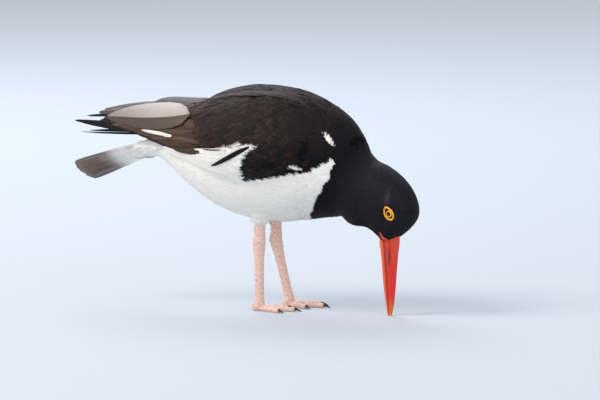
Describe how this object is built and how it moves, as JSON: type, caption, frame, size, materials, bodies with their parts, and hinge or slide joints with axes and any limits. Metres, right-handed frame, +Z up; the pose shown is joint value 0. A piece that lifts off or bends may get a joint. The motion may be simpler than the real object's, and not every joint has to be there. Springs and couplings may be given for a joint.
{
  "type": "oystercatcher",
  "caption": "Life-size black-and-white wading bird stooping on both feet with its bill to the ground.",
  "frame": {"origin": "on the floor under the middle of the bird's bounding box", "axes": "+X the way the body heads, +Y the bird's left, +Z up from the floor"},
  "size_m": [0.3268, 0.1278, 0.1971],
  "materials": {
    "black_plumage": "matte black feathers with a faint sheen",
    "brown_plumage": "matte dark brown feathers",
    "white_plumage": "soft white feathers",
    "bill_horn": "smooth red-orange horn, slightly waxy",
    "leg_skin": "pale pink scaled skin",
    "claw_horn": "dark horn",
    "iris": "wet yellow eye with a black pupil",
    "eye_ring_skin": "bare yellow skin round the eye"
  },
  "bodies": {
    "root": {"torso": "white_plumage", "breast": "black_plumage", "neck": "black_plumage", "head": "black_plumage", "bill_upper": "bill_horn", "bill_lower": "bill_horn", "eye_right": "iris", "eye_ring_right": "eye_ring_skin", "wing_right_coverts": "black_plumage", "wing_right_secondaries": "white_plumage", "wing_right_primaries": "brown_plumage", "wing_right_tertials": "brown_plumage", "wing_right_scapulars": "brown_plumage", "thigh_right": "white_plumage", "shank_right": "leg_skin", "tarsus_right": "leg_skin", "foot_right": "leg_skin", "claw_right_inner": "claw_horn", "claw_right_middle": "claw_horn", "claw_right_outer": "claw_horn", "eye_left": "iris", "eye_ring_left": "eye_ring_skin", "wing_left_coverts": "black_plumage", "wing_left_secondaries": "white_plumage", "wing_left_primaries": "brown_plumage", "wing_left_tertials": "brown_plumage", "wing_left_scapulars": "brown_plumage", "thigh_left": "white_plumage", "shank_left": "leg_skin", "tarsus_left": "leg_skin", "foot_left": "leg_skin", "claw_left_inner": "claw_horn", "claw_left_middle": "claw_horn", "claw_left_outer": "claw_horn", "mantle": "black_plumage", "tail": "brown_plumage"}
  },
  "joints": []
}
